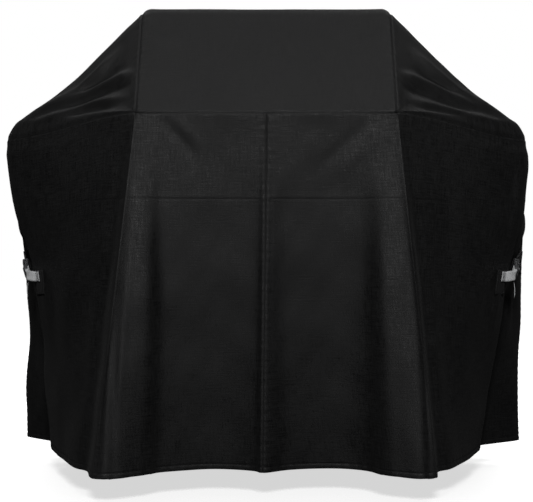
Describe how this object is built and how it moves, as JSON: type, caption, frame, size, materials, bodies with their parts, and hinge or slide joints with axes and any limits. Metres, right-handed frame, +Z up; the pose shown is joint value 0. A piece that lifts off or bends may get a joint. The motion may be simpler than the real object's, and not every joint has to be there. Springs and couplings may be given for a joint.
{
  "type": "grill cover",
  "caption": "Black woven cloth cover for a cart grill: flat-topped hood, sloping shoulders, flared pleated skirt and a side-release buckle strap on each side",
  "frame": {"origin": "centre of the underside of the hood's flat top, where the cover rests on the grill's lid", "axes": "+Z up, the front faces -Y, +X to the right of a person facing the front"},
  "size_m": [1.3031, 0.59, 1.0707],
  "materials": {
    "cover_cloth": "matte",
    "seam_tape": "matte",
    "strap_patch": "matte",
    "grey_webbing": "matte",
    "black_webbing": "matte",
    "buckle_plastic": "satin"
  },
  "bodies": {
    "cover": {"hood_panel": "cover_cloth", "shoulder_left": "cover_cloth", "shoulder_right": "cover_cloth", "skirt_front_left": "cover_cloth", "skirt_front_right": "cover_cloth", "skirt_side_left": "cover_cloth", "skirt_side_right": "cover_cloth", "skirt_back_left": "cover_cloth", "skirt_back_right": "cover_cloth", "hem_fold_left": "cover_cloth", "hem_fold_right": "cover_cloth", "hood_seam_tape_left": "seam_tape", "hood_seam_tape_right": "seam_tape", "waist_tape_left": "seam_tape", "waist_tape_right": "seam_tape", "strap_patch_front_left": "strap_patch", "strap_patch_rear_left": "strap_patch", "webbing_front_left": "grey_webbing", "webbing_rear_left": "black_webbing", "buckle_socket_left": "buckle_plastic", "strap_patch_front_right": "strap_patch", "strap_patch_rear_right": "strap_patch", "webbing_front_right": "grey_webbing", "webbing_rear_right": "black_webbing", "buckle_socket_right": "buckle_plastic"},
    "plug_left": {"buckle_plug_left": "buckle_plastic"},
    "upper_arm_left": {"buckle_arm_upper_left": "buckle_plastic"},
    "lower_arm_left": {"buckle_arm_lower_left": "buckle_plastic"},
    "tail_left": {"strap_tail_left": "grey_webbing"},
    "plug_right": {"buckle_plug_right": "buckle_plastic"},
    "upper_arm_right": {"buckle_arm_upper_right": "buckle_plastic"},
    "lower_arm_right": {"buckle_arm_lower_right": "buckle_plastic"},
    "tail_right": {"strap_tail_right": "grey_webbing"}
  },
  "joints": [
    {"name": "buckle_release_left", "type": "slide", "parent": "cover", "child": "plug_left", "axis": [0.1928, -0.9069, -0.3746], "range_m": [0, 0.024], "deforming": ["webbing_front_left"]},
    {"name": "upper_arm_squeeze_left", "type": "hinge", "parent": "plug_left", "child": "upper_arm_left", "pos_m": [-0.59456, 0.00224, -0.6102], "axis": [-0.965, -0.106, -0.24], "range_deg": [0, 9], "stiffness_Nm_per_rad": 0.4},
    {"name": "lower_arm_squeeze_left", "type": "hinge", "parent": "plug_left", "child": "lower_arm_left", "pos_m": [-0.591, 0.0104, -0.62811], "axis": [0.965, 0.106, 0.24], "range_deg": [0, 9], "stiffness_Nm_per_rad": 0.4},
    {"name": "tail_swing_left", "type": "hinge", "parent": "plug_left", "child": "tail_left", "pos_m": [-0.58714, -0.00153, -0.64636], "axis": [-0.2079, 0.9781, 0], "range_deg": [-6, 95]},
    {"name": "buckle_release_right", "type": "slide", "parent": "cover", "child": "plug_right", "axis": [-0.1928, -0.9069, -0.3746], "range_m": [0, 0.024], "deforming": ["webbing_front_right"]},
    {"name": "upper_arm_squeeze_right", "type": "hinge", "parent": "plug_right", "child": "upper_arm_right", "pos_m": [0.61318, -0.01426, -0.6102], "axis": [-0.965, 0.106, 0.24], "range_deg": [0, 9], "stiffness_Nm_per_rad": 0.4},
    {"name": "lower_arm_squeeze_right", "type": "hinge", "parent": "plug_right", "child": "lower_arm_right", "pos_m": [0.60962, -0.0061, -0.62811], "axis": [0.965, -0.106, -0.24], "range_deg": [0, 9], "stiffness_Nm_per_rad": 0.4},
    {"name": "tail_swing_right", "type": "hinge", "parent": "plug_right", "child": "tail_right", "pos_m": [0.60576, -0.01803, -0.64636], "axis": [-0.2079, -0.9781, 0], "range_deg": [-6, 95]}
  ],
  "couplings": [
    {"joint": "lower_arm_squeeze_left", "follows": "upper_arm_squeeze_left", "ratio": 1},
    {"joint": "lower_arm_squeeze_right", "follows": "upper_arm_squeeze_right", "ratio": 1}
  ]
}
